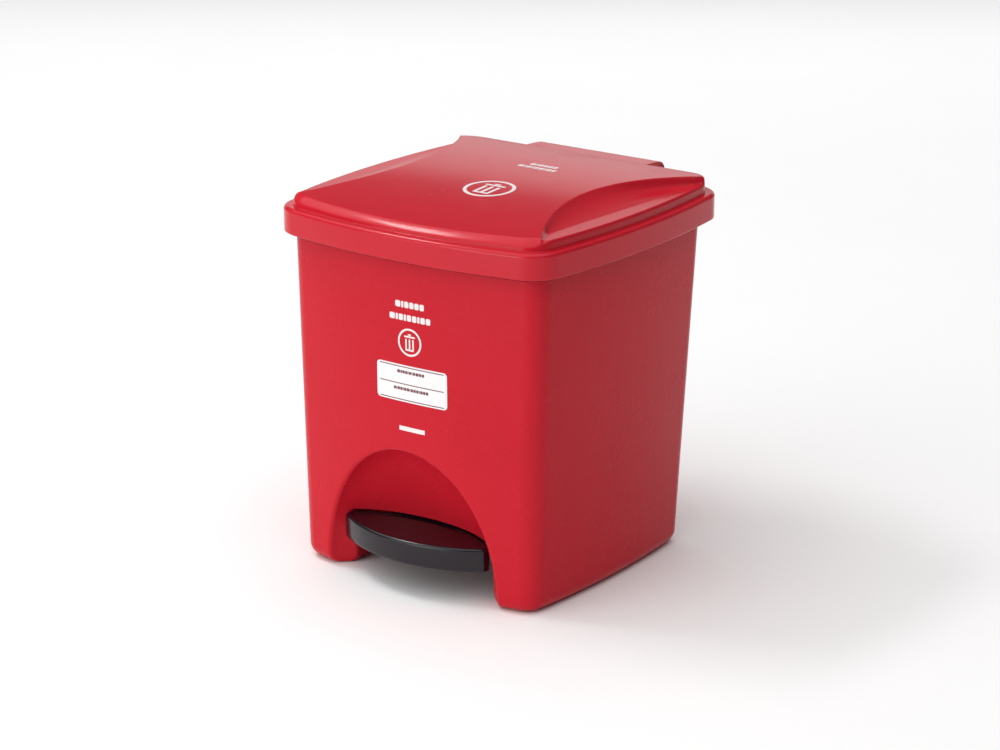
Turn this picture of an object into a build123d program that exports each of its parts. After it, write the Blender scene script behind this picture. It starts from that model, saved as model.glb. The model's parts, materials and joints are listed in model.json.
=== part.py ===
from build123d import *
import math
import os

# Pedal bin with a hinged, domed lid.  Millimetres, +X right, -Y front, +Z up.
# Origin: centre of the footprint, on the floor.

os.makedirs("parts", exist_ok=True)

# --- outer casing -----------------------------------------------------------
WALL = 3.0
CASE_TOP = 396.0
BASE_HALF_W = 157.9
TOP_HALF_W = 167.2
BASE_FRONT = -160.6
TOP_FRONT = -163.6
BASE_REAR = 129.8
TOP_REAR = 155.0
FRONT_BOW = 19.8
SIDE_BOW = 9.9
CASE_CORNER_R = 25.0
BASE_EDGE_R = 16.0
RIM_OUT = 5.5
RIM_DROP = 8.0

# --- scooped toe recess and lever channel ------------------------------------
SCOOP_Y = -181.5
SCOOP_A = 118.8
SCOOP_B = 58.3
SCOOP_C = 160.6
CHANNEL_HALF_W = 94.5
CHANNEL_ROOF = 88.0
CHANNEL_REAR = 126.5
SLOT_TOP = 67.0
CHANNEL_EDGE_R = 10.0
SCOOP_EDGE_R = 4.5

# --- lid ------------------------------------------------------------------------
LID_HALF_W = 178.0
LID_END_Y = 175.0
LID_FRONT_BOW = 22.6
LID_SIDE_BOW = 15.1
LID_CORNER_R = 40.0
SKIRT_BOTTOM = 379.5
SKIRT_TOP = 408.0
SKIRT_EDGE_R = 4.0
TIER_INSET = 13.0
TIER_TOP = 418.0
CROWN_INSET = 16.5
TIER_EDGE_R = 2.0
LID_T = 2.8
BITE_MID = 116.4
BITE_SKEW = 6.4
BITE_CURVE = 51.5
CROWN_REAR = 162.0

# --- lid hinge -------------------------------------------------------------------
HINGE_Y = 189.1
HINGE_Z = 409.0
BARREL_R = 10.5
HOOD_IN_R = 8.3
TAB_HALF_W = 83.6
LID_KNUCKLE_IN = 66.0
HINGE_ROD_R = 3.0
RUN_CLEARANCE = 0.05
ARM_IN = 32.0
ARM_OUT = 64.0
KNUCKLE_R = 7.4

# --- lifting gear ------------------------------------------------------------------
EYE_Y = 142.5
EYE_Z = 382.0
FOOT_Y = 109.0
FOOT_Z = 16.0
LIFT_ROD_R = 3.0
LIFT_ROD_X = 14.0
EAR_IN = 6.0
EAR_OUT = 9.0
PIVOT_Y = -82.0
PIVOT_Z = 34.0
AXLE_R = 4.0

# --- pedal ---------------------------------------------------------------------------
PEDAL_TOP = 65.0
PEDAL_H = 22.0
PEDAL_HALF_W = 94.0
PEDAL_END_Y = -165.0
PEDAL_FRONT = -196.0
PEDAL_REAR = -123.0
PEDAL_T = 3.0

# --- inner bucket ----------------------------------------------------------------------
BUCKET_T = 2.0
BUCKET_BOTTOM = 94.0
BUCKET_TOP = CASE_TOP
FLANGE_T = 3.0


def plan(half_w, front, rear, bow_f, bow_s, r, z):
    """Bowed, round-cornered outline as a face at height z."""
    mid = (front + rear) / 2
    edge = ThreePointArc((-half_w, front), (0, front - bow_f), (half_w, front))
    edge += ThreePointArc((half_w, front), (half_w + bow_s, mid), (half_w, rear))
    edge += Line((half_w, rear), (-half_w, rear))
    edge += ThreePointArc((-half_w, rear), (-half_w - bow_s, mid), (-half_w, front))
    face = make_face(edge)
    return Pos(0, 0, z) * fillet(face.vertices(), r)


def case_plan(z, inset):
    """Outline of the tapered casing at height z, drawn in by inset."""
    t = z / CASE_TOP
    half_w = BASE_HALF_W + (TOP_HALF_W - BASE_HALF_W) * t - inset
    front = BASE_FRONT + (TOP_FRONT - BASE_FRONT) * t + inset
    rear = BASE_REAR + (TOP_REAR - BASE_REAR) * t - inset
    return plan(half_w, front, rear, FRONT_BOW, SIDE_BOW, CASE_CORNER_R - inset, z)


def case_body(z0, z1, inset, edge_r):
    """Tapered body between two heights, its bottom edge rounded."""
    body = loft([case_plan(z0, inset), case_plan(z1, inset)])
    rim = body.edges().group_by(Axis.Z)[0]
    return fillet(rim, edge_r)


def scoop(grow):
    """Ellipsoid that hollows the toe recess out of the front."""
    ball = scale(Sphere(1.0), by=(SCOOP_A + grow, SCOOP_B + grow, SCOOP_C + grow))
    return Pos(0, SCOOP_Y, 0) * ball


def channel(grow):
    """Tunnel under the floor for the pedal lever, with flared bottom edges."""
    w = CHANNEL_HALF_W + grow
    r = CHANNEL_EDGE_R - grow
    top = CHANNEL_ROOF + grow
    bend = r * (1 - math.sqrt(0.5))
    right = Line((0, top), (w, top))
    right += Line((w, top), (w, r + grow))
    right += ThreePointArc((w, r + grow), (w + bend, bend + grow), (w + r, grow))
    right += Polyline((w + r, grow), (w + r, -5), (0, -5), (0, top))
    half = make_face(right)
    profile = half + mirror(half, Plane.YZ)
    depth = CHANNEL_REAR + grow + 220
    return Pos(0, CHANNEL_REAR + grow, 0) * (Rot(90, 0, 0) * extrude(profile, depth))


def yz_plate(points, x0, x1):
    """Flat plate with a side-view outline, between two widths."""
    face = make_face(Polyline(*[(0, y, z) for y, z in points], close=True))
    return Pos(x0, 0, 0) * extrude(face, x1 - x0, dir=(1, 0, 0))


def x_rod(radius, y, z, x0, x1):
    """Round bar or bore along X."""
    bar = Rot(0, 90, 0) * Cylinder(radius, x1 - x0)
    return Pos((x0 + x1) / 2, y, z) * bar


def z_rod(radius, x, y, z0, z1):
    """Round bar or bore along Z."""
    return Pos(x, y, (z0 + z1) / 2) * Cylinder(radius, z1 - z0)


def block(x0, x1, y0, y1, z0, z1):
    """Box between two corners."""
    return Pos((x0 + x1) / 2, (y0 + y1) / 2, (z0 + z1) / 2) * Box(x1 - x0, y1 - y0, z1 - z0)


def along(p, q, radius):
    """Round bar between two points with ball ends."""
    axis = Plane(origin=p, z_dir=(q[0] - p[0], q[1] - p[1], q[2] - p[2]))
    length = math.dist(p, q)
    bar = axis * (Pos(0, 0, length / 2) * Cylinder(radius, length))
    return bar + Pos(*p) * Sphere(radius) + Pos(*q) * Sphere(radius)


def toward(angle, radius):
    """Point at an angle round the hinge axis, in the side view."""
    a = math.radians(angle)
    return (HINGE_Y + radius * math.cos(a), HINGE_Z + radius * math.sin(a))


def casing_arm(x0, x1):
    """Hinge arm that reaches back from the casing under the lid."""
    upper = toward(160, 5.0)
    lower = toward(290, 3.2)
    points = [(TOP_REAR - 2, 395), upper, lower, (TOP_REAR - 3, 362)]
    return yz_plate(points, x0, x1) + x_rod(KNUCKLE_R, HINGE_Y, HINGE_Z, x0, x1)


def at_scoop_mouth(edge):
    """True for the bottom edges where the toe recess leaves the casing."""
    c = edge.center()
    return c.Y < -146 and CHANNEL_HALF_W < abs(c.X) < 127


def build_casing():
    """Casing shell with toe recess, lever channel, rim and hinge arms."""
    tunnel = channel(0)
    slot = tunnel & block(-200, 200, -220, -95, -10, SLOT_TOP)
    outer = case_body(0, CASE_TOP, 0, BASE_EDGE_R) - scoop(0)
    outer = outer - (tunnel - scoop(WALL)) - slot
    mouth = [e for e in outer.edges().filter_by_position(Axis.Z, -0.3, 0.3) if at_scoop_mouth(e)]
    outer = fillet(mouth, SCOOP_EDGE_R)
    inner = case_body(WALL, CASE_TOP, WALL, BASE_EDGE_R - WALL)
    inner = inner - scoop(WALL) - channel(WALL)
    shell = outer - inner

    bottom = CASE_TOP - RIM_DROP
    rim_hw = TOP_HALF_W + RIM_OUT
    rim_args = (FRONT_BOW, SIDE_BOW, CASE_CORNER_R + RIM_OUT, bottom)
    rim = extrude(plan(rim_hw, TOP_FRONT - RIM_OUT, TOP_REAR + 2, *rim_args), RIM_DROP)
    rim = rim - case_body(0, CASE_TOP, 1.0, 5)
    shell = shell + rim

    for side in (-1, 1):
        for a, b in ((ARM_IN, ARM_IN + 5), (ARM_OUT - 5, ARM_OUT)):
            x0, x1 = sorted((side * a, side * b))
            shell = shell + casing_arm(x0, x1)
        x0, x1 = sorted((side * ARM_IN, side * ARM_OUT))
        shell = shell + x_rod(KNUCKLE_R, HINGE_Y, HINGE_Z, x0, x1)
        shell = shell - x_rod(HINGE_ROD_R + RUN_CLEARANCE, HINGE_Y, HINGE_Z, x0 - 1, x1 + 1)
        boss = side * (CHANNEL_HALF_W + WALL + 1)
        x0, x1 = sorted((boss, side * CHANNEL_HALF_W))
        shell = shell + x_rod(8.0, PIVOT_Y, PIVOT_Z, x0, x1)
        shell = shell - x_rod(AXLE_R + RUN_CLEARANCE, PIVOT_Y, PIVOT_Z, x0 - 1, x1 + 1)

    window = block(LIFT_ROD_X - 5.5, LIFT_ROD_X + 5.5, 99.0, 124.0, 84, 95)
    return shell - window


def build_label():
    """Plain writing panel on the casing front."""
    skin = loft([case_plan(0, -0.4), case_plan(CASE_TOP, -0.4)])
    body = loft([case_plan(0, 0), case_plan(CASE_TOP, 0)])
    patch = Rectangle(93.0, 41.5)
    patch = extrude(fillet(patch.vertices(), 4.5), 60)
    patch = Pos(12.0, -140, 239.8) * (Rot(90, 0, 0) * patch)
    return (skin - body) & patch


def lid_outline(inset, z):
    """Skirt outline of the lid drawn in by inset."""
    end = LID_END_Y - inset
    bows = (LID_FRONT_BOW, LID_SIDE_BOW)
    return plan(LID_HALF_W - inset, -end, end, *bows, LID_CORNER_R - inset, z)


def arch(y):
    """Height of the crown along the lid's depth."""
    t = y / 148.5
    return 432.2 + 2.06 * t - 8.4 * t * t


def bite_edge(y, inset):
    """Half width of the crown along the lid's depth."""
    t = y / 148.5
    return BITE_MID + BITE_SKEW * t + BITE_CURVE * t * t - inset


def crown(inset, drop):
    """Arched centre panel, narrow at mid depth, wide at both ends."""
    ys = [-190 + 20 * i for i in range(20)]
    right = Spline(*[(bite_edge(y, inset), y) for y in ys])
    left = Spline(*[(-bite_edge(y, inset), y) for y in ys])
    band = right + left
    band += Line((-bite_edge(ys[0], inset), ys[0]), (bite_edge(ys[0], inset), ys[0]))
    band += Line((-bite_edge(ys[-1], inset), ys[-1]), (bite_edge(ys[-1], inset), ys[-1]))
    column = Pos(0, 0, 385) * extrude(make_face(band), 70)
    column = column & extrude(lid_outline(CROWN_INSET + inset, 385), 70)
    column = column & block(-200, 200, -200, CROWN_REAR - inset, 380, 460)
    top = [(y, arch(y) - drop) for y in range(-210, 211, 15)]
    curve = Spline(*[(0, y, z) for y, z in top])
    curve += Polyline((0, top[-1][0], top[-1][1]), (0, 210, 380), (0, -210, 380), (0, *top[0]))
    under = Pos(-200, 0, 0) * extrude(make_face(curve), 400, dir=(1, 0, 0))
    return column & under


def lid_solid(inset):
    """Stacked skirt, tier and crown, offset inward for the cavity."""
    bottom = SKIRT_BOTTOM - (1 if inset else 0)
    skirt = extrude(lid_outline(inset, bottom), SKIRT_TOP - inset - bottom)
    skirt = fillet(skirt.edges().group_by(Axis.Z)[-1], SKIRT_EDGE_R - inset / 2)
    tier = extrude(lid_outline(TIER_INSET + inset / 2, 400), TIER_TOP - inset - 400)
    tier = fillet(tier.edges().group_by(Axis.Z)[-1], TIER_EDGE_R)
    return skirt + tier + crown(inset, inset)


def build_lid():
    """Lid shell with its crown, rear hinge hood, knuckles and inside bosses."""
    shell = lid_solid(0) - lid_solid(LID_T)
    opening = block(-ARM_OUT - 3, ARM_OUT + 3, 166, 190, 370, 411)
    shell = shell - opening

    slope = [(CROWN_REAR - 6, 412.0), (CROWN_REAR - 6, 420.5), (CROWN_REAR + 4, 420.5)]
    tab = yz_plate(slope + [toward(90, BARREL_R), toward(90, HOOD_IN_R)], -TAB_HALF_W, TAB_HALF_W)
    ring = x_rod(BARREL_R, HINGE_Y, HINGE_Z, -TAB_HALF_W, TAB_HALF_W)
    ring = ring - x_rod(HOOD_IN_R, HINGE_Y, HINGE_Z, -TAB_HALF_W - 1, TAB_HALF_W + 1)
    keep = [toward(90, 0), toward(90, 20), toward(40, 30), toward(-15, 20), toward(-15, 0)]
    hood = ring & yz_plate(keep, -TAB_HALF_W, TAB_HALF_W)
    shell = shell + tab + hood

    for side in (-1, 1):
        x0, x1 = sorted((side * LID_KNUCKLE_IN, side * TAB_HALF_W))
        web = [(172, 395), (172, 412), toward(90, 9), toward(-60, 9)]
        shell = shell + x_rod(BARREL_R, HINGE_Y, HINGE_Z, x0, x1) + yz_plate(web, x0, x1)
        shell = shell - x_rod(HINGE_ROD_R + RUN_CLEARANCE, HINGE_Y, HINGE_Z, x0 - 1, x1 + 1)
        x0, x1 = sorted((side * (TAB_HALF_W - 4), side * (TAB_HALF_W + 1)))
        shell = shell - x_rod(6.5, HINGE_Y, HINGE_Z, x0, x1)

    cap = lid_solid(1.0)
    for x, y in buffer_spots():
        shell = shell + (z_rod(7.2, x, y, 407, 450) & cap)
    for x in (-22, 22):
        boss = z_rod(5.5, x, 131, 412, 450) & cap
        shell = shell + boss - z_rod(2.0 + RUN_CLEARANCE, x, 131, 400, 423)
    return shell


def buffer_spots():
    """Positions of the rubber buffers under the lid."""
    return [(-112, -164), (112, -164), (-112, 144), (112, 144)]


def build_buffer(x, y):
    """Rubber buffer that lands on the bucket flange."""
    body = z_rod(6.2, x, y, CASE_TOP + FLANGE_T + 0.3, 407)
    return chamfer(body.edges().group_by(Axis.Z)[0], 1.2)


def build_lift_bracket():
    """Bracket under the lid whose two ears carry the lift rod."""
    plate = block(-32, 32, 122, 140, 409, 412)
    ear = [(133, 410), (EYE_Y - 6.2, EYE_Z - 1), (EYE_Y - 4, EYE_Z - 5.5)]
    ear += [(EYE_Y + 4, EYE_Z - 5.5), (EYE_Y + 6.0, EYE_Z - 1), (147.5, 398), (146, 410)]
    bracket = plate
    for x0, x1 in ((-EAR_OUT, -EAR_IN), (EAR_IN, EAR_OUT)):
        bracket = bracket + yz_plate(ear, x0, x1)
    bracket = bracket + block(-EAR_OUT, EAR_OUT, 136, 146, 409, 412)
    bracket = bracket - x_rod(LIFT_ROD_R + RUN_CLEARANCE, EYE_Y, EYE_Z, -20, 20)
    for x in (-22, 22):
        bracket = bracket - z_rod(2.0 + RUN_CLEARANCE, x, 131, 400, 415)
    return bracket


def build_lift_rod():
    """Cranked steel rod from the lid bracket down to the lever tail."""
    top = (LIFT_ROD_X, EYE_Y, EYE_Z)
    foot = (LIFT_ROD_X, FOOT_Y, FOOT_Z)
    rod = along(top, foot, LIFT_ROD_R)
    rod = rod + x_rod(LIFT_ROD_R, EYE_Y, EYE_Z, -14, LIFT_ROD_X)
    return rod + x_rod(LIFT_ROD_R, FOOT_Y, FOOT_Z, -14, LIFT_ROD_X)


def push_caps(places, bore_r, outer_r):
    """Set of spring push-on caps on round ends along X."""
    caps = []
    for x0, x1, y, z in places:
        cap = x_rod(outer_r, y, z, x0, x1)
        caps.append(cap - x_rod(bore_r, y, z, x0 - 1, x1 + 1))
    return Compound(children=caps)


def build_pedal_pad():
    """Lens-shaped moulded pedal, hollow underneath."""
    hw, ye = PEDAL_HALF_W, PEDAL_END_Y
    z0 = PEDAL_TOP - PEDAL_H

    def lens(g, low, high):
        edge = ThreePointArc((-hw + g, ye + g), (0, PEDAL_FRONT + g), (hw - g, ye + g))
        edge += Line((hw - g, ye + g), (hw - 3 - g, ye + 12 - g))
        edge += ThreePointArc((hw - 3 - g, ye + 12 - g), (0, PEDAL_REAR - g), (-hw + 3 + g, ye + 12 - g))
        edge += Line((-hw + 3 + g, ye + 12 - g), (-hw + g, ye + g))
        face = make_face(edge)
        face = fillet(face.vertices(), 4.5 - g)
        return Pos(0, 0, low) * extrude(face, high - low)

    body = lens(0, z0, PEDAL_TOP)
    body = fillet(body.edges().group_by(Axis.Z)[-1], 3.0)
    body = body - lens(PEDAL_T, z0 - 1, PEDAL_TOP - PEDAL_T)
    body = body - block(-EAR_OUT - 3, EAR_OUT + 3, -140, -115, z0 - 1, 58)
    for x, y in pedal_screw_spots():
        body = body + z_rod(5.0, x, y, 50, PEDAL_TOP - 1)
        body = body - z_rod(2.0 + RUN_CLEARANCE, x, y, 49, 60)
    return body


def pedal_screw_spots():
    """Screw positions that hold the pedal to its lever."""
    return [(-52, -158), (52, -158), (-22, -158), (22, -158)]


def build_lever():
    """Steel lever: front plate, twin webs, pivot tube and slotted tail."""
    lever = block(-64, 64, -166, -148, 47, 50)
    web = [(-158, 50), (-158, 46), (-100, 26), (-70, 24), (60, 8), (FOOT_Y + 14, 8)]
    web += [(FOOT_Y + 14, 25), (60, 28), (-70, 44), (-128, 55), (-140, 50)]
    for x0, x1 in ((-EAR_OUT, -EAR_IN), (EAR_IN, EAR_OUT)):
        lever = lever + yz_plate(web, x0, x1)
    lever = lever + x_rod(8.5, PIVOT_Y, PIVOT_Z, -88, 88)
    lever = lever + block(-EAR_IN, EAR_IN, 20, 50, 14, 17)
    lever = lever - x_rod(AXLE_R + RUN_CLEARANCE, PIVOT_Y, PIVOT_Z, -100, 100)
    slot = block(-20, 20, FOOT_Y - 7.6, FOOT_Y + 6.4, FOOT_Z - 3.5, FOOT_Z + 6.3)
    slot = slot + x_rod(4.9, FOOT_Y - 7.6, FOOT_Z + 1.4, -20, 20)
    slot = slot + x_rod(4.9, FOOT_Y + 6.4, FOOT_Z + 1.4, -20, 20)
    lever = lever - slot
    for x, y in pedal_screw_spots():
        lever = lever - z_rod(2.0 + RUN_CLEARANCE, x, y, 40, 52)
    return lever


def screws(spots, z_head, z_tip, head_r):
    """Set of pan-head screws driven upward."""
    out = []
    for x, y in spots:
        head = z_rod(head_r, x, y, z_head, z_head + 2.2)
        out.append(head + z_rod(2.0, x, y, z_head + 2, z_tip))
    return Compound(children=out)


def bucket_body(z0, z1, inset):
    """Tapered bucket body, drawn in by inset."""
    sections = []
    for z in (z0, z1):
        t = (z - BUCKET_BOTTOM) / (BUCKET_TOP - BUCKET_BOTTOM)
        hw = 148.0 + 10.0 * t - inset
        front = -149.0 - 5.0 * t + inset
        rear = 99.0 + 29.0 * t - inset
        sections.append(plan(hw, front, rear, FRONT_BOW, SIDE_BOW, 28 - inset, z))
    return loft(sections)


def build_bucket():
    """Lift-out bucket that hangs on the casing rim by its flange."""
    outer = bucket_body(BUCKET_BOTTOM, BUCKET_TOP + FLANGE_T, 0)
    outer = fillet(outer.edges().group_by(Axis.Z)[0], 8.0) - scoop(WALL + 3)
    inner = bucket_body(BUCKET_BOTTOM + BUCKET_T, BUCKET_TOP + FLANGE_T + 1, BUCKET_T)
    inner = fillet(inner.edges().group_by(Axis.Z)[0], 6.0) - scoop(WALL + 3 + BUCKET_T)
    flange = extrude(case_plan(CASE_TOP, 0.5), FLANGE_T)
    flange = flange - block(-26, 26, 128.6, 170, 390, 410)
    bucket = outer + flange - inner
    for side in (-1, 1):
        grip = block(-38, 38, -5, 5, 390, 410)
        x = side * (TOP_HALF_W + SIDE_BOW - 7)
        bucket = bucket - Pos(x, -12, 0) * (Rot(0, 0, 90) * grip)
    return bucket


def export(name, shape):
    """Write one named piece."""
    shape.label = name
    export_step(shape, f"parts/{name}.step")


def main():
    export("outer_casing", build_casing())
    export("writing_panel", build_label())
    export("hinge_rod", x_rod(HINGE_ROD_R, HINGE_Y, HINGE_Z, -TAB_HALF_W + 0.5, TAB_HALF_W - 0.5))
    end = TAB_HALF_W
    sides = [(-end + 0.8, -end + 3.4), (end - 3.4, end - 0.8)]
    caps = [(a, b, HINGE_Y, HINGE_Z) for a, b in sides]
    export("hinge_rod_caps", push_caps(caps, HINGE_ROD_R, 5.6))
    end = CHANNEL_HALF_W + WALL
    export("pedal_axle", x_rod(AXLE_R, PIVOT_Y, PIVOT_Z, -end - 7, end + 7))
    caps = [(-end - 5, -end - 1.4, PIVOT_Y, PIVOT_Z), (end + 1.4, end + 5, PIVOT_Y, PIVOT_Z)]
    export("axle_push_caps", push_caps(caps, AXLE_R, 7.0))

    export("lid_shell", build_lid())
    names = ("front_left", "front_right", "rear_left", "rear_right")
    for name, (x, y) in zip(names, buffer_spots()):
        export(f"lid_buffer_{name}", build_buffer(x, y))
    export("lift_bracket", build_lift_bracket())
    export("lift_bracket_screws", screws([(-22, 131), (22, 131)], 406.8, 421, 4.0))

    export("lift_rod", build_lift_rod())
    caps = [(-13.2, -10.0, EYE_Y, EYE_Z), (-13.2, -10.0, FOOT_Y, FOOT_Z)]
    export("lift_rod_push_caps", push_caps(caps, LIFT_ROD_R, 5.0))

    export("pedal_pad", build_pedal_pad())
    export("pedal_lever", build_lever())
    export("pedal_screws", screws(pedal_screw_spots(), 44.8, 59, 3.6))
    for name, side in (("left", -1), ("right", 1)):
        x0, x1 = sorted((side * 88.0, side * 94.1))
        bush = x_rod(7.5, PIVOT_Y, PIVOT_Z, x0, x1)
        export(f"pedal_bush_{name}", bush - x_rod(AXLE_R + RUN_CLEARANCE, PIVOT_Y, PIVOT_Z, x0 - 1, x1 + 1))

    export("inner_bucket", build_bucket())


main()
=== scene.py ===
import bpy
import json
import math
import numpy as np
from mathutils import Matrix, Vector
from mathutils.bvhtree import BVHTree


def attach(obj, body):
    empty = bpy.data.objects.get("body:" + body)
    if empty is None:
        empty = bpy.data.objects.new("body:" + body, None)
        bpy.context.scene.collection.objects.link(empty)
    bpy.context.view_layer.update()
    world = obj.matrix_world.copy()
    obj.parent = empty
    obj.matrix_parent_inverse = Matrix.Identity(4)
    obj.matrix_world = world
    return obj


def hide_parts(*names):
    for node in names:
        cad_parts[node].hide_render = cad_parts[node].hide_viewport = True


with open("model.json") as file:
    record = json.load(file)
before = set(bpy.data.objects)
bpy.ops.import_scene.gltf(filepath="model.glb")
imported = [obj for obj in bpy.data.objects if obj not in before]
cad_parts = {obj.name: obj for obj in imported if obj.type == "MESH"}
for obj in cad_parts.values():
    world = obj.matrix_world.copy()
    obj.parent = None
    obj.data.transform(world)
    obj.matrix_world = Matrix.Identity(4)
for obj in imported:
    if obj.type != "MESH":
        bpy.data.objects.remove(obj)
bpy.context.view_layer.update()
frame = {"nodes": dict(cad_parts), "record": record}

MM = 0.001

# ---------------------------------------------------------------- materials


def new_material(name):
    """Empty node material with its shader, output and object coordinates."""
    mat = bpy.data.materials.new(name)
    mat.use_nodes = True
    tree = mat.node_tree
    tree.nodes.clear()
    out = tree.nodes.new("ShaderNodeOutputMaterial")
    shader = tree.nodes.new("ShaderNodeBsdfPrincipled")
    tree.links.new(shader.outputs["BSDF"], out.inputs["Surface"])
    coord = tree.nodes.new("ShaderNodeTexCoord")
    return mat, tree, shader, coord.outputs["Object"]


def noise(tree, vector, scale, detail=3.0, rough=0.55, stretch=(1, 1, 1)):
    """Noise value, optionally stretched along an axis."""
    mapping = tree.nodes.new("ShaderNodeMapping")
    mapping.inputs["Scale"].default_value = stretch
    tree.links.new(vector, mapping.inputs["Vector"])
    node = tree.nodes.new("ShaderNodeTexNoise")
    node.inputs["Scale"].default_value = scale
    node.inputs["Detail"].default_value = detail
    node.inputs["Roughness"].default_value = rough
    tree.links.new(mapping.outputs["Vector"], node.inputs["Vector"])
    return node.outputs["Fac"]


def ramp(tree, value, low, high):
    """Ramp from black at low to white at high."""
    node = tree.nodes.new("ShaderNodeValToRGB")
    node.color_ramp.elements[0].position = low
    node.color_ramp.elements[1].position = high
    tree.links.new(value, node.inputs["Fac"])
    return node.outputs["Color"]


def mix(tree, fac, a, b):
    """Mix of two colours or links."""
    node = tree.nodes.new("ShaderNodeMix")
    node.data_type = "RGBA"
    for socket, value in ((node.inputs[0], fac), (node.inputs[6], a), (node.inputs[7], b)):
        if isinstance(value, (int, float)):
            socket.default_value = value
        elif isinstance(value, tuple):
            socket.default_value = (*value, 1)
        else:
            tree.links.new(value, socket)
    return node.outputs[2]


def span(tree, value, low, high):
    """Map a 0..1 value to a range."""
    node = tree.nodes.new("ShaderNodeMapRange")
    node.inputs["To Min"].default_value = low
    node.inputs["To Max"].default_value = high
    tree.links.new(value, node.inputs["Value"])
    return node.outputs["Result"]


def bump(tree, shader, layers):
    """Chain of bump layers: (height link, strength, distance in metres)."""
    normal = None
    for height, strength, distance in layers:
        node = tree.nodes.new("ShaderNodeBump")
        node.inputs["Strength"].default_value = strength
        node.inputs["Distance"].default_value = distance
        tree.links.new(height, node.inputs["Height"])
        if normal is not None:
            tree.links.new(normal, node.inputs["Normal"])
        normal = node.outputs["Normal"]
    tree.links.new(normal, shader.inputs["Normal"])


def scaled(tree, value, factor):
    """Value multiplied by a constant."""
    node = tree.nodes.new("ShaderNodeMath")
    node.operation = "MULTIPLY"
    node.inputs[1].default_value = factor
    tree.links.new(value, node.inputs[0])
    return node.outputs[0]


def edge_wear(tree):
    """Mask that is 1 on convex edges."""
    geo = tree.nodes.new("ShaderNodeNewGeometry")
    return ramp(tree, geo.outputs["Pointiness"], 0.52, 0.60)


def moulded(name, deep, light, rough, grain=0.05, scuff=0.25, spec=0.5):
    """Satin moulded plastic with mottling, fine texture, scuffs and rubbed edges."""
    mat, tree, shader, co = new_material(name)
    cloud = noise(tree, co, 9.0, 4.0)
    base = mix(tree, cloud, deep, light)
    scratch = ramp(tree, noise(tree, co, 55.0, 6.0, 0.7, (1.0, 1.0, 9.0)), 0.66, 0.74)
    dust = ramp(tree, noise(tree, co, 26.0, 8.0, 0.65), 0.55, 0.85)
    pale = tuple(min(1.0, c * 0.75 + 0.10) for c in light)
    base = mix(tree, scaled(tree, scratch, scuff * 0.35), base, pale)
    base = mix(tree, scaled(tree, edge_wear(tree), scuff * 0.5), base, pale)
    tree.links.new(base, shader.inputs["Base Color"])
    gloss = mix(tree, dust, (rough - 0.04,) * 3, (rough + 0.10,) * 3)
    gloss = mix(tree, scratch, gloss, (rough + 0.16,) * 3)
    tree.links.new(gloss, shader.inputs["Roughness"])
    shader.inputs["Specular IOR Level"].default_value = spec
    shader.inputs["IOR"].default_value = 1.49
    fine = noise(tree, co, 900.0, 2.0)
    wave = noise(tree, co, 14.0, 2.0)
    bump(tree, shader, [(wave, 0.10, 0.0012), (fine, grain, 0.0002), (scratch, 0.06, 0.0001)])
    return mat


def metal(name, deep, light, rough, stretch=(1, 1, 1)):
    """Plated or drawn steel with streaks, dull patches and rubbed edges."""
    mat, tree, shader, co = new_material(name)
    cloud = noise(tree, co, 38.0, 5.0)
    streak = noise(tree, co, 240.0, 4.0, 0.6, stretch)
    base = mix(tree, cloud, deep, light)
    base = mix(tree, span(tree, streak, 0.0, 0.35), base, tuple(c * 0.6 for c in deep))
    tree.links.new(base, shader.inputs["Base Color"])
    shader.inputs["Metallic"].default_value = 1.0
    gloss = mix(tree, ramp(tree, cloud, 0.35, 0.75), (rough,) * 3, (rough + 0.2,) * 3)
    tree.links.new(gloss, shader.inputs["Roughness"])
    bump(tree, shader, [(streak, 0.12, 0.0002)])
    return mat


def rubber(name):
    """Dull black rubber with a dusty bloom."""
    mat, tree, shader, co = new_material(name)
    bloom = ramp(tree, noise(tree, co, 160.0, 6.0), 0.45, 0.8)
    colour = mix(tree, bloom, (0.018, 0.018, 0.018), (0.06, 0.058, 0.055))
    tree.links.new(colour, shader.inputs["Base Color"])
    tree.links.new(span(tree, bloom, 0.65, 0.85), shader.inputs["Roughness"])
    bump(tree, shader, [(noise(tree, co, 1500.0), 0.2, 0.0002)])
    return mat


RED = moulded("casing_red", (0.50, 0.009, 0.020), (0.56, 0.013, 0.027), 0.31, 0.04, 0.12, 0.13)
LID_RED = moulded("lid_red", (0.50, 0.009, 0.021), (0.56, 0.013, 0.028), 0.21, 0.03, 0.08, 0.26)
BLACK = moulded("pedal_black", (0.005, 0.003, 0.006), (0.008, 0.005, 0.009), 0.24, 0.06, 0.10, 0.42)
GREY = moulded("bucket_grey", (0.27, 0.28, 0.29), (0.33, 0.34, 0.35), 0.45, 0.10, 0.3)
WHITE = moulded("panel_white", (0.78, 0.77, 0.77), (0.86, 0.85, 0.85), 0.42, 0.05, 0.1)
ACETAL = moulded("bush_black", (0.012, 0.012, 0.012), (0.020, 0.020, 0.020), 0.38, 0.05, 0.1)
COATED = moulded("black_steel", (0.010, 0.010, 0.012), (0.018, 0.018, 0.020), 0.36, 0.12, 0.4, 0.4)
ZINC = metal("zinc_steel", (0.52, 0.53, 0.55), (0.70, 0.71, 0.72), 0.34)
DRAWN = metal("bright_steel", (0.60, 0.60, 0.61), (0.74, 0.74, 0.75), 0.24, (9, 1, 9))
SPRING = metal("spring_steel", (0.16, 0.15, 0.15), (0.28, 0.27, 0.26), 0.4)
SCREW = metal("screw_steel", (0.55, 0.56, 0.56), (0.70, 0.70, 0.71), 0.3)
RUBBER = rubber("buffer_rubber")

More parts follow.
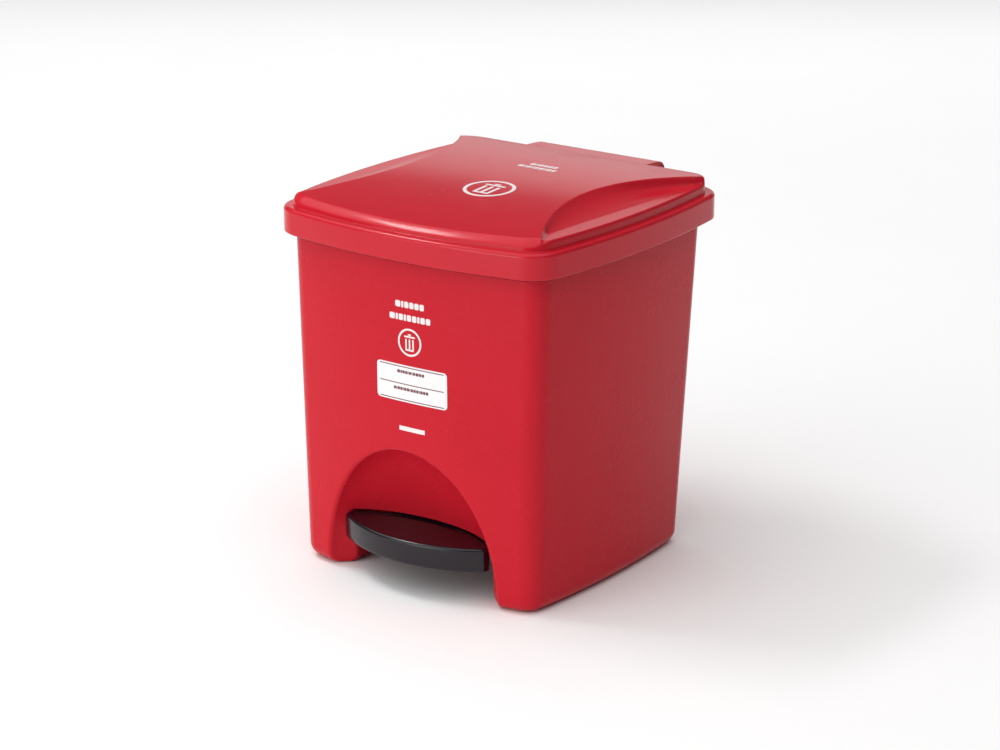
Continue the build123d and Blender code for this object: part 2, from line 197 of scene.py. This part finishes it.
SLOT_MATERIAL = {
    "casing_red": RED, "lid_red": LID_RED, "pedal_black": BLACK, "bucket_grey": GREY,
    "panel_white": WHITE, "zinc_steel": ZINC, "bright_steel": DRAWN, "spring_steel": SPRING,
    "screw_steel": SCREW, "bush_black": ACETAL, "black_steel": COATED, "buffer_rubber": RUBBER,
}
for part in frame["record"]["subparts"]:
    node = frame["nodes"][part["node"]]
    node.data.materials.clear()
    node.data.materials.append(SLOT_MATERIAL[part["material_slot"]])

# -------------------------------------------------------------- mesh helpers


def new_mesh(name, verts, faces, body, material, smooth=True):
    """Mesh object from millimetre points, riding on a body."""
    mesh = bpy.data.meshes.new(name)
    mesh.from_pydata([(x * MM, y * MM, z * MM) for x, y, z in verts], [], faces)
    mesh.update()
    obj = bpy.data.objects.new(name, mesh)
    bpy.context.collection.objects.link(obj)
    mesh.materials.append(material)
    for poly in mesh.polygons:
        poly.use_smooth = smooth
    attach(obj, body)
    return obj


def bevel(obj, width):
    """Rounded edges on a hard-surface piece."""
    mod = obj.modifiers.new("round_edges", "BEVEL")
    mod.width = width * MM
    mod.segments = 3
    mod.limit_method = "ANGLE"
    mod.angle_limit = math.radians(30)
    mod.harden_normals = True
    return obj


def prism_x(name, outline, x0, x1, radius, body, material):
    """Side-view outline (y, z) given a width along X, with rounded edges."""
    n = len(outline)
    verts = [(x, y, z) for x in (x0, x1) for y, z in outline]
    faces = [tuple(range(n))[::-1], tuple(range(n, 2 * n))]
    faces += [(i, (i + 1) % n, n + (i + 1) % n, n + i) for i in range(n)]
    return bevel(new_mesh(name, verts, faces, body, material), radius)


def lathe(name, profile, place, turns, edge_radius, body, material):
    """Closed profile of (along, radius) points turned once; place gives each point from along, u, v."""
    verts, faces, n = [], [], len(profile)
    for k in range(turns):
        a = 2 * math.pi * k / turns
        verts += [place(along, r * math.cos(a), r * math.sin(a)) for along, r in profile]
    for k in range(turns):
        a, b = k * n, (k + 1) % turns * n
        faces += [(a + i, a + (i + 1) % n, b + (i + 1) % n, b + i) for i in range(n)]
    return bevel(new_mesh(name, verts, faces, body, material), edge_radius)


def ring_quad(row, i, count, base=0):
    """Corner numbers of the face between rings row and row + 1 at place i."""
    j = (i + 1) % count
    a, b = base + row * count, base + (row + 1) * count
    return a + i, a + j, b + j, b + i


def smooth01(x, low, high):
    """Smooth step from 0 at low to 1 at high."""
    t = np.clip((x - low) / (high - low), 0.0, 1.0)
    return t * t * (3 - 2 * t)


# ------------------------------------------------------------- lid moulding

# All lengths are in millimetres. Insets are measured inwards from the skirt's outer face.
LID_HALF_W, LID_END_Y = 178.0, 175.0
LID_FRONT_BOW, LID_SIDE_BOW, LID_CORNER_R = 22.6, 15.1, 40.0
SKIRT_LOW, LEDGE_Z, TIER_Z, LID_T = 379.5, 408.0, 418.0, 2.8
SKIRT_EDGE_R = 4.0
WALL_FOOT, WALL_TOP = 10.4, 11.4    # insets of the tier wall's foot and top
RING_END = 36.0                     # inset at which the rings turn into scaled copies
OUTLINE_STEP = 1.7
CROWN_REACH, CROWN_Z = 148.5, 432.2
NOTCH_HALF_W, NOTCH_DEPTH = 67.0, 9.0
HINGE_Y, HINGE_Z = 189.1, 409.0
HINGE_BORE_R = 3.05
TAB_HALF_W, BARREL_R = 83.6, 10.5
HOOD_Y = 152.0                      # front end of the hood, on the crown
BOSS_EDGE = 0.6


def arch(y):
    """Height of the crown along the lid's depth."""
    t = y / CROWN_REACH
    return CROWN_Z + 2.06 * t - 8.4 * t * t


def bite_edge(y):
    """Half width of the crown along the lid's depth."""
    t = y / CROWN_REACH
    return 117.6 + 5.2 * t + 46.5 * t * t


def arc_points(centre, radius, a0, a1, step):
    """Points and outward normals along an arc, the last point left out."""
    n = max(2, int(abs(a1 - a0) * radius / step))
    a = np.linspace(a0, a1, n, endpoint=False)
    normal = np.stack([np.cos(a), np.sin(a)], 1)
    return np.array(centre) + radius * normal, normal


def lid_outline(step):
    """Skirt outline as points and outward normals, right half then its mirror."""
    hw, end, r = LID_HALF_W, LID_END_Y, LID_CORNER_R
    rf = (hw ** 2 + LID_FRONT_BOW ** 2) / (2 * LID_FRONT_BOW)
    rs = (end ** 2 + LID_SIDE_BOW ** 2) / (2 * LID_SIDE_BOW)
    cf = np.array([0.0, -end - LID_FRONT_BOW + rf])
    cs = np.array([hw + LID_SIDE_BOW - rs, 0.0])
    gap = cf - cs
    dist = np.linalg.norm(gap)
    reach = ((rs - r) ** 2 - (rf - r) ** 2 + dist ** 2) / (2 * dist)
    rise = math.sqrt((rs - r) ** 2 - reach ** 2)
    unit = gap / dist
    front_corner = cs + reach * unit + rise * np.array([unit[1], -unit[0]])
    rear_corner = np.array([cs[0] + math.sqrt((rs - r) ** 2 - (end - r) ** 2), end - r])
    to_front = math.atan2(*(front_corner - cf)[::-1])
    side_low = math.atan2(*(front_corner - cs)[::-1])
    side_high = math.atan2(*(rear_corner - cs)[::-1])
    runs = [
        arc_points(cf, rf, -math.pi / 2, to_front, step),
        arc_points(front_corner, r, to_front, side_low, step * 0.6),
        arc_points(cs, rs, side_low, side_high, step),
        arc_points(rear_corner, r, side_high, math.pi / 2, step * 0.6),
    ]
    for x0, x1 in ((rear_corner[0], NOTCH_HALF_W), (NOTCH_HALF_W, 0.0)):
        x = np.linspace(x0, x1, int((x0 - x1) / step), endpoint=False)
        runs.append((np.stack([x, np.full_like(x, end)], 1), np.tile((0.0, 1.0), (len(x), 1))))
    point = np.concatenate([p for p, _ in runs] + [np.array([[0.0, end]])])
    normal = np.concatenate([n for _, n in runs] + [np.array([[0.0, 1.0]])])
    flip = np.array([-1.0, 1.0])
    return (np.concatenate([point, (point * flip)[-2:0:-1]]),
            np.concatenate([normal, (normal * flip)[-2:0:-1]]))


def lid_height(x, y, d, ny):
    """Height of the lid's outer face at inset d; ny is the outline normal's y part."""
    front = smooth01(-ny, 0.30, 0.80)
    rear = smooth01(ny, 0.30, 0.80)
    run = 2.6 + 7.0 * front + 1.0 * rear
    wall = 0.70 - 0.34 * front
    power = 2.0 - 0.62 * front
    foot = np.clip((d - WALL_FOOT) / (WALL_TOP - WALL_FOOT), 0, 1) * wall
    lean = np.clip((WALL_TOP + run - d) / run, 0, 1)
    mask = np.where(d < WALL_TOP, foot, wall + (1 - wall) * (1 - lean ** power) ** (1 / power))
    edge = bite_edge(y)
    t = y / CROWN_REACH
    foot_x = np.maximum(160.3 + 8.6 * t, edge + 4.0)
    s = np.clip((np.abs(x) - edge) / (foot_x - edge), 0, 1)
    steep = 3.5 + 5.5 * smooth01(y, 0, 110)
    hollow = 0.7 * (1 - s) ** steep + 0.3 * (1 - s)
    ridge = smooth01(y, 10, 90) * (1 - smooth01(y, 120, 150))
    for place in (0.16, 0.34):
        step = smooth01(s, place - 0.012, place + 0.012) * (1 - smooth01(s, 0.5, 1.0))
        hollow = hollow - 0.035 * ridge * step
    body = TIER_Z - LEDGE_Z + (arch(y) - TIER_Z) * hollow
    return LEDGE_Z + mask * body


def lid_rings():
    """Inset and fixed height (or None) of each ring, from skirt foot to crown."""
    rings = [(0.9, SKIRT_LOW), (0.35, SKIRT_LOW + 0.15), (0.0, SKIRT_LOW + 0.8)]
    rings += [(0.0, SKIRT_LOW + z) for z in (1.6, 8.0, 16.0, 23.5)]
    for k in range(8):
        a = math.pi / 2 * k / 7
        low = LEDGE_Z - SKIRT_EDGE_R
        rings.append((SKIRT_EDGE_R * (1 - math.cos(a)), low + SKIRT_EDGE_R * math.sin(a)))
    rings += [(d, None) for d in (5.0, 7.0, 9.0, 9.9, 10.3, 10.5, 10.8, 11.1)]
    d = WALL_TOP
    while d < RING_END:
        rings.append((d, None))
        d += 0.18 + 0.055 * (d - WALL_TOP)
    return rings


def build_lid():
    """Lid shell: skirt, ledge, tier wall and crown, with its inner face."""
    point, normal = lid_outline(OUTLINE_STEP)
    count = len(point)
    outer, inner = [], []
    for d, fixed in lid_rings():
        xy = point - normal * d
        z = np.full(count, fixed) if fixed else lid_height(xy[:, 0], xy[:, 1], d, normal[:, 1])
        outer.append(np.column_stack([xy, z]))
        back = LID_T * (1 - smooth01(np.array(d), 15.0, 30.0))
        low = fixed is not None and fixed < SKIRT_LOW + 1.5
        xy = point - normal * (LID_T if low else d + back)
        inner.append(np.column_stack([xy, z if low else z - LID_T]))
    last = outer[-1][:, :2]
    deep = lid_rings()[-1][0]
    scales = [1 - 0.0068 * k for k in range(1, 46)] + [0.62, 0.52, 0.4, 0.26, 0.12]
    for k in scales:
        xy = last * k
        z = lid_height(xy[:, 0], xy[:, 1], deep + 40, normal[:, 1])
        outer.append(np.column_stack([xy, z]))
        inner.append(np.column_stack([xy, z - LID_T]))
    rows = len(outer)
    middle = (0.0, 0.0, float(arch(0.0)))
    verts = [tuple(v) for ring in outer for v in ring] + [middle]
    start = len(verts)
    verts += [tuple(v) for ring in inner for v in ring] + [(0.0, 0.0, middle[2] - LID_T)]
    depths = [d for d, _ in lid_rings()] + [999] * len(scales)

    def in_notch(row, i):
        """Whether the face lies in the gap that the rear skirt leaves for the hinge."""
        j = (i + 1) % count
        rear = normal[i][1] > 0.999 and normal[j][1] > 0.999
        across = max(abs(point[i][0]), abs(point[j][0])) <= NOTCH_HALF_W + 0.01
        return rear and across and depths[row + 1] <= NOTCH_DEPTH + 0.001

    faces, cut = [], set()
    for row in range(rows - 1):
        for i in range(count):
            if in_notch(row, i):
                cut.add((row, i))
                continue
            quad = ring_quad(row, i, count)
            faces.append(quad)
            faces.append(tuple(start + v for v in quad[::-1]))
    for i in range(count):
        j = (i + 1) % count
        a = (rows - 1) * count
        faces.append((a + i, a + j, rows * count))
        faces.append((start + a + j, start + a + i, start + rows * count))
        if (0, i) not in cut:
            faces.append((j, i, start + i, start + j))
    for row, i in cut:
        j = (i + 1) % count
        a, b = row * count, (row + 1) * count
        if (row + 1, i) not in cut:
            faces.append((b + j, b + i, start + b + i, start + b + j))
        if (row, (i - 1) % count) not in cut:
            faces.append((b + i, a + i, start + a + i, start + b + i))
        if (row, j) not in cut:
            faces.append((a + j, b + j, start + b + j, start + a + j))
    shell = new_mesh("lid_top", verts, faces, "lid", LID_RED)
    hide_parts("lid_shell")
    return shell


def around_hinge(angle, radius):
    """Side-view point at an angle round the hinge axis."""
    a = math.radians(angle)
    return HINGE_Y + radius * math.cos(a), HINGE_Z + radius * math.sin(a)


def build_hinge_hood():
    """Rear tab that curls over the hinge rod, with a barrel at each end."""
    top = [(HOOD_Y, 421.0), (HOOD_Y, float(arch(HOOD_Y)) - 0.4), (165.0, 424.2), (180.0, 423.4)]
    curl = []
    for k in range(15):
        a = math.radians(90 - 105 * k / 14)
        curl.append((HINGE_Y - 1.0 + 11.2 * math.cos(a), HINGE_Z + 13.4 * math.sin(a)))
    back = [around_hinge(-15 + 105 * k / 14, BARREL_R - 2.2) for k in range(15)]
    under = [(176.0, 417.6), (164.0, 418.6)]
    outline = top + curl + back + under
    prism_x("hinge_hood", outline, -TAB_HALF_W, TAB_HALF_W, 0.5, "lid", LID_RED)
    for side, word in ((-1, "left"), (1, "right")):
        profile = [(66.0, HINGE_BORE_R), (66.0, 10.4), (TAB_HALF_W, 10.4),
                   (TAB_HALF_W, 6.5), (79.6, 6.5), (79.6, HINGE_BORE_R)]
        profile = [(side * x, r) for x, r in profile]
        lathe("hinge_barrel_" + word, profile, lambda x, u, v: (x, HINGE_Y + u, HINGE_Z + v),
              64, 0.6, "lid", LID_RED)
        web = [(170.0, 396.0), (170.0, 409.0), (176.0, 417.0)]
        web += [around_hinge(110, 9.0), around_hinge(180, 8.0), around_hinge(240, 9.5)]
        x0, x1 = sorted((side * 67.5, side * (TAB_HALF_W - 0.6)))
        prism_x("hinge_web_" + word, web, x0, x1, 0.6, "lid", LID_RED)


def under_lid(x, y):
    """Height of the lid's inner face above a point well inside the skirt."""
    bow = LID_FRONT_BOW * (1 - (x / LID_HALF_W) ** 2)
    d = min(y + LID_END_Y + bow, LID_END_Y - y)
    facing = -1.0 if y < 0 else 1.0
    height = lid_height(np.array(x), np.array(y), np.array(d), np.array(facing))
    return float(height) - LID_T


def build_inside_bosses():
    """Round bosses under the lid for the buffers and the bracket screws."""
    spots = [(x, y, 7.2, 406.6) for x in (-112.0, 112.0) for y in (-164.0, 144.0)]
    spots += [(x, 131.0, 5.5, 411.9) for x in (-22.0, 22.0)]
    count = 40
    for k, (x, y, r, low) in enumerate(spots):
        turn = [2 * math.pi * i / count for i in range(count)]
        circle = [(math.cos(a), math.sin(a)) for a in turn]
        foot_r = r - BOSS_EDGE
        verts = [(x + foot_r * c, y + foot_r * s, low) for c, s in circle]
        verts += [(x + r * c, y + r * s, low + BOSS_EDGE) for c, s in circle]
        for grow, drop in ((0.1, 1.6), (1.2, -0.5)):
            edge = [(x + (r + grow) * c, y + (r + grow) * s) for c, s in circle]
            verts += [(px, py, under_lid(px, py) - drop) for px, py in edge]
        faces = []
        for row in range(3):
            faces += [ring_quad(row, i, count) for i in range(count)]
        faces += [tuple(range(count))[::-1], tuple(range(3 * count, 4 * count))]
        new_mesh("lid_boss_%d" % k, verts, faces, "lid", LID_RED)


build_lid()
build_hinge_hood()
build_inside_bosses()

# -------------------------------------------------------------- pedal moulding

PEDAL_FRONT_Y, PEDAL_REAR_Y, PEDAL_MID_Y, PEDAL_HALF_W = -196.0, -123.0, -160.0, 97.0
PEDAL_END_R = 9.0
PEDAL_TOP, PEDAL_LOW, PEDAL_WALL = 65.0, 38.5, 3.0
PEDAL_ROOF = PEDAL_TOP - 3.9        # inner face of the top
PEDAL_EDGE_R = 3.6
PEDAL_STEP = 1.6
LEVER_TOP = 50.05
PEDAL_BOSSES = ((-52, -158), (52, -158), (-22, -158), (22, -158))


def pedal_outline(step):
    """Lens outline of the pedal, two arcs and rounded ends, with outward normals."""
    tip = PEDAL_HALF_W - PEDAL_END_R
    reach_f = PEDAL_MID_Y - PEDAL_FRONT_Y - PEDAL_END_R
    reach_r = PEDAL_REAR_Y - PEDAL_MID_Y - PEDAL_END_R
    rf = (tip ** 2 + reach_f ** 2) / (2 * reach_f) + PEDAL_END_R
    rr = (tip ** 2 + reach_r ** 2) / (2 * reach_r) + PEDAL_END_R
    front_mid = np.array([0.0, PEDAL_FRONT_Y + rf])
    rear_mid = np.array([0.0, PEDAL_REAR_Y - rr])
    end = np.array([tip, PEDAL_MID_Y])
    low = math.atan2(*(end - front_mid)[::-1])
    high = math.atan2(*(end - rear_mid)[::-1])
    runs = [arc_points(front_mid, rf, -math.pi - low, low, step)]
    runs += [arc_points(end, PEDAL_END_R, low, high, step / 2)]
    runs += [arc_points(rear_mid, rr, high, math.pi - high, step)]
    runs += [arc_points(end * [-1, 1], PEDAL_END_R, math.pi - high, math.pi - low, step / 2)]
    return np.concatenate([p for p, _ in runs]), np.concatenate([n for _, n in runs])


def level_ring(point, normal, inset, z):
    """Closed ring of points at one height, drawn in from the pedal's outline."""
    return np.column_stack([point - normal * inset, np.full(len(point), z)])


def shrunk(loop, centre, scales):
    """Copies of a ring drawn towards a centre."""
    return [np.column_stack([centre + (loop[:, :2] - centre) * k, loop[:, 2]]) for k in scales]


def build_pedal():
    """Hollow pedal with a rolled top edge and a slightly dished top."""
    point, normal = pedal_outline(PEDAL_STEP)
    centre = np.array([0.0, PEDAL_MID_Y])
    edge, top = PEDAL_EDGE_R, PEDAL_TOP
    rings = [(1.2, PEDAL_LOW), (0.5, PEDAL_LOW + 0.1), (0.15, PEDAL_LOW + 0.7), (0.0, PEDAL_LOW + 5.0)]
    rings += [(0.0, PEDAL_LOW + 11.0), (0.0, top - edge)]
    for k in range(1, 8):
        a = math.pi / 2 * k / 7
        rings.append((edge * (1 - math.cos(a)), top - edge + edge * math.sin(a)))
    rings += [(4.6, top - 0.05), (5.6, top - 0.45), (6.6, top - 0.75), (8.0, top - 0.85)]
    outer = [level_ring(point, normal, d, z) for d, z in rings]
    outer += shrunk(outer[-1], centre, (0.92, 0.82, 0.7, 0.56, 0.4, 0.22, 0.08))
    rings = [(1.8, PEDAL_LOW), (2.6, PEDAL_LOW + 0.5), (PEDAL_WALL, PEDAL_LOW + 2), (3.6, top - 4.6)]
    rings += [(4.6, PEDAL_ROOF), (8.0, PEDAL_ROOF)]
    inner = [level_ring(point, normal, d, z) for d, z in rings]
    inner += shrunk(inner[-1], centre, (0.7, 0.4, 0.08))
    verts, faces, n = [], [], len(point)
    for shell, flip in ((outer, False), (inner, True)):
        base = len(verts)
        verts += [tuple(v) for loop in shell for v in loop]
        for row in range(len(shell) - 1):
            for i in range(n):
                quad = ring_quad(row, i, n, base)
                faces.append(quad[::-1] if flip else quad)
        cap = tuple(range(base + (len(shell) - 1) * n, base + len(shell) * n))
        faces.append(cap[::-1] if flip else cap)
    start = len(outer) * n
    faces += [((i + 1) % n, i, start + i, start + (i + 1) % n) for i in range(n)]
    pad = new_mesh("pedal_moulding", verts, faces, "pedal", BLACK)
    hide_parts("pedal_pad")
    profile = [(LEVER_TOP, 5.0), (PEDAL_ROOF + 0.5, 5.0), (PEDAL_ROOF + 0.5, 2.0), (LEVER_TOP, 2.0)]
    for k, (x, y) in enumerate(PEDAL_BOSSES):
        lathe("pedal_boss_%d" % k, profile, lambda z, u, v: (x + u, y + v, z),
              40, 0.4, "pedal", BLACK)


build_pedal()

# ------------------------------------------------------------------- prints

INK_LIFT, INK_T = 0.10, 0.14       # gap under the film and its thickness
PANEL_X, PANEL_Z = 12.0, 239.8


def ink(name, colour):
    """Matte screen-print ink with slight mottling and worn spots."""
    mat, tree, shader, co = new_material(name)
    spots = ramp(tree, noise(tree, co, 420.0, 5.0, 0.7), 0.62, 0.74)
    worn = tuple(c * 0.80 + 0.02 for c in colour)
    tree.links.new(mix(tree, span(tree, spots, 0.0, 0.5), colour, worn), shader.inputs["Base Color"])
    tree.links.new(span(tree, spots, 0.42, 0.6), shader.inputs["Roughness"])
    bump(tree, shader, [(noise(tree, co, 1400.0), 0.05, 0.0001)])
    return mat


def on_node(node, lift):
    """Mapping from (x, z) to the point just in front of a CAD node's front face."""
    source = frame["nodes"][node]
    tree = BVHTree.FromObject(source, bpy.context.evaluated_depsgraph_get())

    def place(x, z):
        hit = tree.ray_cast(Vector((x * MM, -1.0, z * MM)), Vector((0, 1, 0)))[0]
        return x, hit.y / MM - lift, z
    return place


def on_lid(x, y):
    """Point on the crown."""
    return x, y, float(arch(y)) + INK_LIFT


def bar(x0, x1, v0, v1, columns=1, radius=0.9):
    """Bar as flat polygons: one with rounded corners, or a row of columns that can bend."""
    if columns > 1:
        xs = [x0 + (x1 - x0) * k / columns for k in range(columns + 1)]
        return [[(a, v0), (b, v0), (b, v1), (a, v1)] for a, b in zip(xs, xs[1:])]
    corners = ((x1 - radius, v1 - radius, 0), (x0 + radius, v1 - radius, 90),
               (x0 + radius, v0 + radius, 180), (x1 - radius, v0 + radius, 270))
    shape = []
    for cx, cv, start in corners:
        for k in range(4):
            a = math.radians(start + 30 * k)
            shape.append((cx + radius * math.cos(a), cv + radius * math.sin(a)))
    return [shape]


def greeked(cx, cv, width, height, marks):
    """Row of plain blocks where a line of lettering would be."""
    gap = 0.16 * height
    total = sum(marks)
    free = width - gap * (len(marks) - 1)
    polys, x = [], cx - width / 2
    for m in marks:
        w = free * m / total
        polys += bar(x, x + w, cv - height / 2, cv + height / 2, 1, min(w, height) * 0.28)
        x += w + gap
    return polys


def ring(cx, cv, r0, r1, count=72):
    """Flat ring."""
    polys = []
    for k in range(count):
        a, b = (2 * math.pi * (k + j) / count for j in (0, 1))
        corners = ((r0, a), (r1, a), (r1, b), (r0, b))
        polys.append([(cx + r * math.cos(t), cv + r * math.sin(t)) for r, t in corners])
    return polys


def bin_sign(cx, cv, size):
    """Generic sign: a ring round a plain waste-bin outline."""
    s = size / 2
    polys = ring(cx, cv, 0.86 * s, s)
    polys += bar(cx - 0.46 * s, cx + 0.46 * s, cv + 0.34 * s, cv + 0.46 * s, 1, 0.05 * s)
    polys += bar(cx - 0.14 * s, cx + 0.14 * s, cv + 0.50 * s, cv + 0.60 * s, 1, 0.04 * s)
    for f in (-0.30, 0.0, 0.30):
        polys += bar(cx + (f - 0.065) * s, cx + (f + 0.065) * s, cv - 0.52 * s, cv + 0.24 * s, 1, 0.05 * s)
    polys += bar(cx - 0.36 * s, cx + 0.36 * s, cv - 0.62 * s, cv - 0.50 * s, 1, 0.05 * s)
    return polys


def print_on(name, polys, place, body, material):
    """Thin ink film of flat polygons laid on a surface."""
    verts, faces = [], []
    for poly in polys:
        faces.append(tuple(range(len(verts), len(verts) + len(poly))))
        verts += [place(u, v) for u, v in poly]
    obj = new_mesh(name, verts, faces, body, material, smooth=False)
    mod = obj.modifiers.new("film", "SOLIDIFY")
    mod.thickness = INK_T * MM
    mod.offset = -1
    return obj


INK_WHITE = ink("ink_white", (0.80, 0.74, 0.74))
INK_DARK = ink("ink_dark_red", (0.16, 0.035, 0.045))
# Relative widths of the plain blocks that stand for the letters of each line.
SHORT_LINE = (5, 2, 4, 4, 4, 4)
LONG_LINE = (5, 2, 4, 2, 4, 4, 2, 4, 4)
PANEL_LINE_1 = (4, 2, 3, 3, 1, 3, 1, 3, 4, 3, 3)
PANEL_LINE_2 = (3, 1, 3, 3, 1, 3, 3, 1, 3, 3, 3, 1, 3, 3, 3)


def build_prints():
    """Marks on the casing's front, on the panel and on the lid."""
    front = on_node("outer_casing", INK_LIFT)
    panel = on_node("writing_panel", INK_LIFT)
    rules = []
    for v in (18.6, -0.6, -18.6):
        rules += bar(PANEL_X - 42.5, PANEL_X + 42.5, PANEL_Z + v - 0.5, PANEL_Z + v + 0.5, 24)
    rules += greeked(PANEL_X - 0.5, PANEL_Z + 13.0, 36, 3.4, PANEL_LINE_1)
    rules += greeked(PANEL_X - 0.5, PANEL_Z - 6.2, 46, 3.4, PANEL_LINE_2)
    prints = (
        ("caption_line_1", greeked(11, 328.5, 38, 7.0, SHORT_LINE), front, "casing", INK_WHITE),
        ("caption_line_2", greeked(11, 314.0, 54, 7.0, LONG_LINE), front, "casing", INK_WHITE),
        ("front_bin_sign", bin_sign(10.5, 287.0, 31), front, "casing", INK_WHITE),
        ("maker_bar", bar(-5, 29, 186.0, 191.0, 12), front, "casing", INK_WHITE),
        ("panel_rules", rules, panel, "casing", INK_DARK),
        ("lid_bin_sign", bin_sign(19, -50, 58), on_lid, "lid", INK_WHITE),
        ("lid_caption_1", greeked(11, 64, 36, 8.0, SHORT_LINE), on_lid, "lid", INK_WHITE),
        ("lid_caption_2", greeked(11, 50, 50, 8.0, LONG_LINE), on_lid, "lid", INK_WHITE),
    )
    for name, polys, place, body, material in prints:
        print_on(name, polys, place, body, material)


build_prints()

# ------------------------------------------------------- floor, light, camera

FLOOR_SIZE, FLOOR_Z = 14, -0.0005

bpy.ops.mesh.primitive_plane_add(size=FLOOR_SIZE, location=(0, 0, FLOOR_Z))
floor = bpy.context.object
floor.name = "floor"
ground, tree, shader, co = new_material("floor_pale")
ground_colour = mix(tree, noise(tree, co, 3.0), (0.90, 0.90, 0.90), (0.93, 0.93, 0.93))
tree.links.new(ground_colour, shader.inputs["Base Color"])
shader.inputs["Roughness"].default_value = 0.9
floor.data.materials.append(ground)

world = bpy.data.worlds.new("studio")
bpy.context.scene.world = world
world.use_nodes = True
background = world.node_tree.nodes["Background"]
background.inputs["Color"].default_value = (1.0, 1.0, 1.0, 1)
background.inputs["Strength"].default_value = 0.14


def aim(obj, direction):
    """Turn a light or camera to look along a direction."""
    obj.rotation_euler = Vector(direction).to_track_quat("-Z", "Y").to_euler()


def area_light(name, place, target, size, watts):
    """Soft rectangular studio light aimed at a point."""
    data = bpy.data.lights.new(name, "AREA")
    data.shape = "RECTANGLE"
    data.size, data.size_y = size
    data.energy = watts
    lamp = bpy.data.objects.new(name, data)
    bpy.context.collection.objects.link(lamp)
    lamp.location = place
    aim(lamp, Vector(target) - Vector(place))


sun = bpy.data.lights.new("overhead", "SUN")
sun.energy = 2.5
sun.angle = math.radians(100)
sun_lamp = bpy.data.objects.new("overhead", sun)
bpy.context.collection.objects.link(sun_lamp)
aim(sun_lamp, (0.10, 0.28, -0.95))
area_light("key", (-1.38, -0.46, 2.42), (0, -0.15, 0.40), (0.85, 0.34), 17)
area_light("backdrop", (-1.9, 2.6, 1.0), (0, 0, 0.45), (4.2, 0.9), 8)
area_light("front_fill", (-1.1, -2.9, 0.75), (0, 0, 0.18), (2.2, 1.1), 15.5)
area_light("low_fill", (-0.2, -2.4, 0.28), (0, 0, 0.12), (1.4, 0.35), 9)

AZ, EL = math.radians(36.15), math.radians(17.92)
TARGET = Vector((-0.00202, 0.0, 0.20039))
DIST = 3.32145
camera_data = bpy.data.cameras.new("camera")
camera_data.sensor_width = 36.0
camera_data.lens = 106.28
camera_data.clip_end = 50
camera_data.shift_x = -0.001
camera_data.shift_y = 0.0004
camera = bpy.data.objects.new("camera", camera_data)
bpy.context.collection.objects.link(camera)
outward = Vector((math.sin(AZ) * math.cos(EL), -math.cos(AZ) * math.cos(EL), math.sin(EL)))
camera.location = TARGET + DIST * outward
aim(camera, TARGET - camera.location)
bpy.context.scene.camera = camera
bpy.context.scene.view_settings.view_transform = "Standard"
